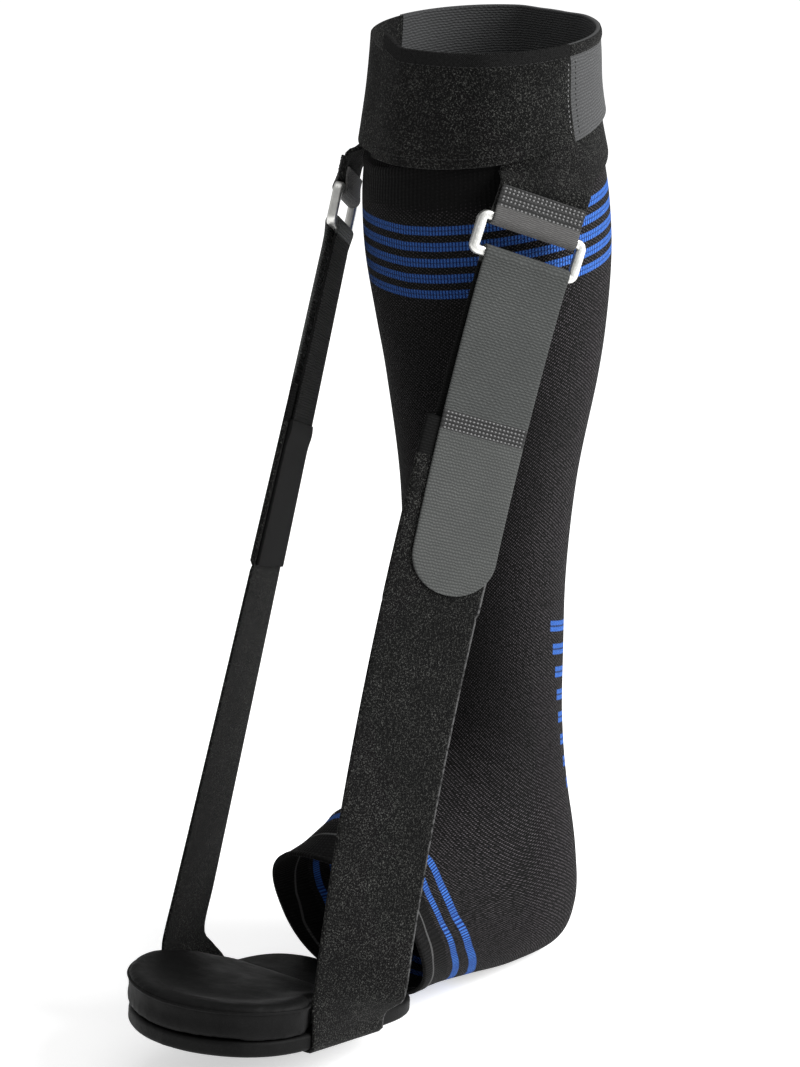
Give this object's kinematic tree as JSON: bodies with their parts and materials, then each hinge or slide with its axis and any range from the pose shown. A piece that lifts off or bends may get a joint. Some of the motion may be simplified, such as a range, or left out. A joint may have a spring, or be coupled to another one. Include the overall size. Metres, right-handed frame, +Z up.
{
  "type": "night splint",
  "caption": "Night splint: black knitted leg sleeve with blue stripes, plush calf cuff, stirrup strap with metal rings and grey closures, and a toe wedge pad",
  "frame": {"origin": "heel seat: the point on the axis of the leg at the level of the sole, where the heel sits in the sleeve", "axes": "+Z up the leg, -Y towards the toes, +X towards the outer side of the ankle"},
  "size_m": [0.143, 0.2917, 0.47],
  "materials": {
    "sleeve_knit": "knitted rib",
    "black_plush": "loop plush",
    "cuff_elastic": "ribbed elastic",
    "grey_webbing": "woven webbing",
    "pad_foam": "smooth cover",
    "ring_metal": "polished"
  },
  "bodies": {
    "root": {"compression_sleeve": "sleeve_knit", "cuff_front_panel": "black_plush", "cuff_back_panel": "cuff_elastic", "cuff_closure_tab": "black_plush", "outer_tab": "black_plush", "inner_tab": "black_plush", "outer_ring_loop": "grey_webbing", "inner_ring_loop": "grey_webbing", "outer_ring": "ring_metal", "inner_ring": "ring_metal", "outer_closure_strap": "grey_webbing", "inner_closure_strap": "grey_webbing", "stirrup_strap": "black_plush", "base_pad": "pad_foam", "toe_wedge": "pad_foam"}
  },
  "joints": []
}
